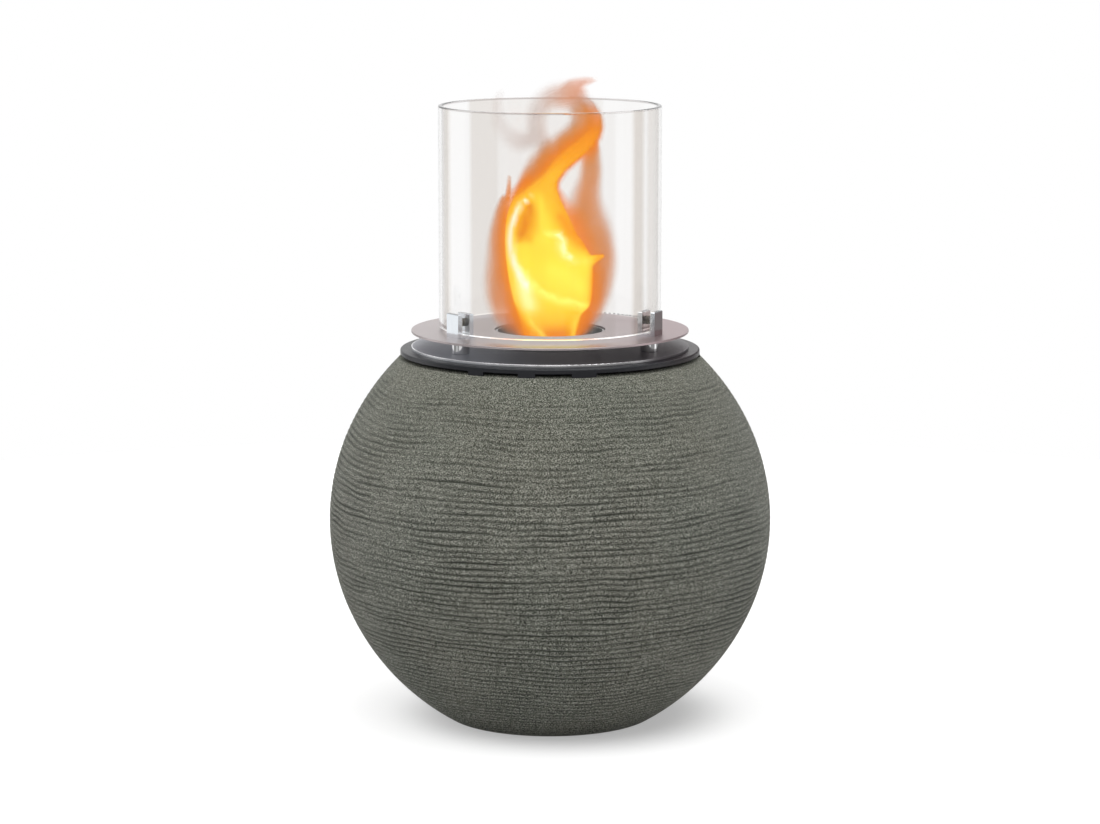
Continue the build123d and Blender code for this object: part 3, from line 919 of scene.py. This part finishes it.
def make_floor():
    """Pale floor that keeps the fireplace's shadow, and is white to the eye away from it, where a painted
    glow rises.
    """
    bm = bmesh.new()
    bmesh.ops.create_circle(bm, cap_ends=True, segments=96, radius=floor_radius)
    finish = Finish("studio_floor", roughness=0.9, specular_ior_level=0.0)
    finish.set("Base Color", grey(206))
    solid = Value(finish, finish.surface.outputs[0])
    place = finish.node("Mapping", {}, {"Vector": finish.place(), "Location": (-floor_shade_right, 0, 0)})
    away = finish.length(place).ramp(floor_shade_radius, floor_shade_end)
    # Painted light: the floor's glow rises away from the fireplace, which narrows its shadow
    strength = floor_glow + away * floor_glow_away
    glow = finish.node("Emission", {}, {"Color": grey(255), "Strength": strength})
    lit = finish.node("AddShader", {}, {0: solid, 1: glow})
    shader = finish.node("MixShader", {}, {0: finish.seen_directly(), 1: solid, 2: lit})
    finish.plug(finish.output.inputs["Surface"], shader)
    new_piece("studio_floor", bm, None, finish.material)


def make_world():
    """White behind everything, soft light all round, and panels and walls for steel and glass to mirror."""
    world = bpy.data.worlds.new("studio")
    bpy.context.scene.world = world
    tree = Tree(world)
    across, along, height = tree.parts(tree.node("TexCoord", output="Generated"))
    turn = tree.turn(across, 0 - along) - camera_turn_deg
    level = studio_walls + height.ramp(ceiling_edge, ceiling_full) * (1 - studio_walls)
    lowness = height.ramp(low_panel_top + low_panel_edge, low_panel_top - low_panel_edge)
    for panels, reach in ((studio_panels, 1), (low_panels, lowness)):
        for low, high, bright in panels:
            panel = turn.inside(low, high, panel_edge_deg / 2) * reach * bright
            level = level.maths("MAXIMUM", level, panel)
    mirrored = tree.node("LightPath", output="Is Glossy Ray")
    mirrored = mirrored * (1 - tree.node("LightPath", output="Is Transmission Ray"))
    plain = studio_ambient + tree.seen_directly() * (1 - studio_ambient)
    strength = plain * (1 - mirrored) + level * mirrored
    background = tree.node("Background", {}, {"Color": grey(255), "Strength": strength})
    output = tree.tree.nodes.new("ShaderNodeOutputWorld")
    tree.plug(output.inputs["Surface"], background)


def make_lamp():
    """One wide soft lamp overhead, a little to the left and in front."""
    lamp = bpy.data.lights.new("overhead_lamp", "SUN")
    lamp.energy = lamp_strength
    lamp.angle = math.radians(lamp_spread_deg)
    holder = bpy.data.objects.new("overhead_lamp", lamp)
    holder.rotation_euler = (
        math.radians(90 - lamp_height_deg), 0, math.radians(camera_turn_deg - lamp_left_deg))
    bpy.context.scene.collection.objects.link(holder)


def make_camera():
    data = bpy.data.cameras.new("camera")
    data.lens = camera_lens_mm
    data.clip_start = 0.1
    data.clip_end = 100.0
    camera = bpy.data.objects.new("camera", data)
    turn = math.radians(camera_turn_deg)
    camera.location = (camera_distance * math.sin(turn), -camera_distance * math.cos(turn), camera_height)
    camera.rotation_euler = (math.radians(90 - camera_pitch_deg), 0, turn)
    bpy.context.scene.collection.objects.link(camera)
    bpy.context.scene.camera = camera


make_camera()
make_world()
make_floor()
make_lamp()
bpy.context.scene.view_settings.view_transform = "Standard"

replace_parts(ball_piece(), "ball_body")

dress(ring_paint(), "vent_ring")
dress(upper_plate_steel(), "upper_plate")
dress(lower_plate_steel(), "lower_plate")
chrome = brushed_steel("standoff_steel", grey(215), grey(232), 0.05, (200.0, 200.0, 900.0), 0.000004)
dress(chrome, *numbered("standoff", 3))
dress(clip_steel(), *numbered("glass_clip", 3))
fastener = brushed_steel("fastener_steel", grey(150), grey(190), 0.25, (400.0, 400.0, 400.0))
dress(fastener, *numbered("pressure_screw", 3), "clip_bolts")
dress(fastener, "ring_studs", "ring_nuts", "can_studs", "can_nuts")
burner = brushed_steel("burner_steel", grey(150), grey(190), 0.28, (60.0, 60.0, 900.0))
dress(burner, "fuel_cup", "burner_grid", "spill_can")
dress(fibre_wool(), "ceramic_wool")
dress(clear_glass(), "glass_tube")
dress(soft_rubber("clip_silicone", grey(200), grey(220), 0.35), *numbered("clip_liner", 3))
rubber = soft_rubber("black_rubber", grey(28), grey(44), 0.65)
dress(rubber, *numbered("foot_pad", 4))
dress(soft_rubber("pad_rubber", paint(82, 80, 74), paint(104, 101, 94), 0.5), *numbered("pressure_pad", 3))

make_flame()
bpy.context.scene.cycles.transparent_max_bounces = 64
